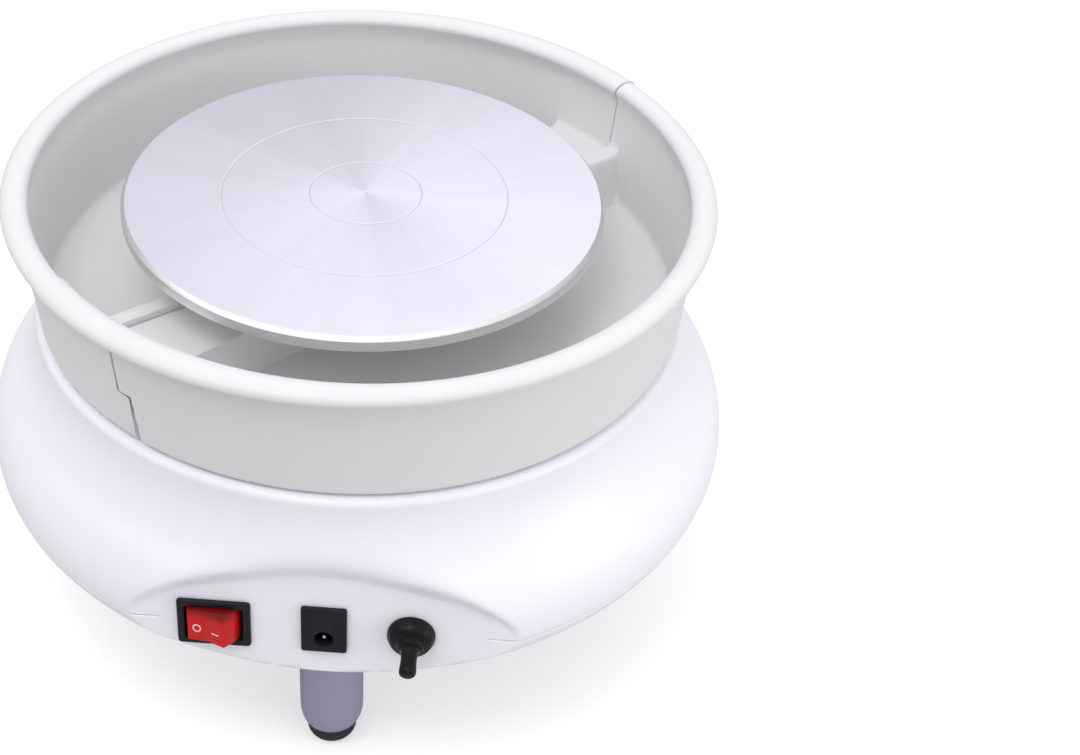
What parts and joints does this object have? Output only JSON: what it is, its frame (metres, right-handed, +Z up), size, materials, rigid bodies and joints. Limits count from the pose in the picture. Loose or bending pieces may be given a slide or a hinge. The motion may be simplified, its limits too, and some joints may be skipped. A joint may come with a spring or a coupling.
{
  "type": "pottery wheel",
  "caption": "Tabletop electric pottery wheel: a turned metal wheel head in a split splash pan, on a domed white base with short legs and a control panel.",
  "frame": {"origin": "on the spin axis at floor level, under the feet", "axes": "+Z up along the spin axis, -Y towards the control panel, +X to the right of a person facing the panel"},
  "size_m": [0.404, 0.4025, 0.258],
  "materials": {
    "turned_aluminium": "fine turned face with a conical sheen",
    "cast_aluminium": "as cast, machined seats",
    "steel": "bright zinc",
    "seal_rubber": "matt black",
    "motor_enamel": "satin black enamel",
    "zinc_plate": "passivated sheet steel",
    "shell_plastic": "smooth white, slightly lavender",
    "pan_plastic": "smooth white",
    "leg_paint": "satin lavender grey",
    "foot_rubber": "matt black",
    "switch_plastic": "fine matt black",
    "board_plastic": "matt black",
    "rocker_red": "translucent red",
    "boot_rubber": "matt black, slightly greasy sheen",
    "circuit_board": "green lacquer",
    "lead_cover": "satin"
  },
  "bodies": {
    "base": {"bearing_housing": "cast_aluminium", "heat_sink": "cast_aluminium", "lower_bearing": "steel", "upper_bearing": "steel", "housing_bolt_1": "steel", "housing_bolt_2": "steel", "housing_bolt_3": "steel", "motor_screw_1": "steel", "motor_screw_2": "steel", "bracket_bolt_1": "steel", "bracket_bolt_2": "steel", "shell_screw_1": "steel", "shell_screw_2": "steel", "shell_screw_3": "steel", "leg_stud_front": "steel", "leg_stud_right": "steel", "leg_stud_left": "steel", "leg_nut_front": "steel", "leg_nut_right": "steel", "leg_nut_left": "steel", "jack_pin": "steel", "toggle_bushing": "steel", "toggle_nut": "steel", "shaft_seal": "seal_rubber", "drive_belt": "seal_rubber", "motor_body": "motor_enamel", "motor_bracket": "zinc_plate", "chassis_plate": "zinc_plate", "upper_shell": "shell_plastic", "lower_shell": "shell_plastic", "leg_front": "leg_paint", "leg_right": "leg_paint", "leg_left": "leg_paint", "foot_front": "foot_rubber", "foot_right": "foot_rubber", "foot_left": "foot_rubber", "rocker_bezel": "switch_plastic", "jack_body": "switch_plastic", "toggle_body": "switch_plastic", "board_carrier": "board_plastic", "toggle_boot": "boot_rubber", "control_board": "circuit_board", "supply_lead": "lead_cover", "motor_lead": "lead_cover"},
    "wheel": {"wheel_head": "turned_aluminium", "head_hub": "cast_aluminium", "hub_set_screw": "steel", "hub_bolt_1": "steel", "hub_bolt_2": "steel", "hub_bolt_3": "steel", "main_shaft": "steel", "driven_pulley": "cast_aluminium", "retaining_ring": "steel"},
    "motor_rotor": {"motor_shaft": "steel", "motor_pulley": "steel"},
    "rocker": {"rocker_paddle": "rocker_red"},
    "toggle": {"toggle_lever": "steel", "lever_sleeve": "boot_rubber"},
    "pan_front": {"pan_front_half": "pan_plastic"},
    "pan_rear": {"pan_rear_half": "pan_plastic"}
  },
  "joints": [
    {"name": "wheel_spin", "type": "hinge", "parent": "base", "child": "wheel", "pos_m": [0, 0, 0.237], "axis": [0, 0, 1], "continuous": true},
    {"name": "motor_spin", "type": "hinge", "parent": "base", "child": "motor_rotor", "pos_m": [0, 0.106, 0.158], "axis": [0, 0, 1], "continuous": true},
    {"name": "rocker_tip", "type": "hinge", "parent": "base", "child": "rocker", "pos_m": [-0.054, -0.17161, 0.10458], "axis": [0, 0.0698, 0.9976], "range_deg": [0, 30]},
    {"name": "toggle_throw", "type": "hinge", "parent": "base", "child": "toggle", "pos_m": [0.043, -0.1776, 0.105], "axis": [-1, 0, 0], "range_deg": [0, 34]},
    {"name": "pan_front_pull", "type": "slide", "parent": "base", "child": "pan_front", "axis": [0.8192, -0.5736, 0], "range_m": [0, 0.2]},
    {"name": "pan_rear_pull", "type": "slide", "parent": "base", "child": "pan_rear", "axis": [-0.8192, 0.5736, 0], "range_m": [0, 0.2]}
  ],
  "couplings": [
    {"joint": "motor_spin", "follows": "wheel_spin", "ratio": 5.1481}
  ]
}
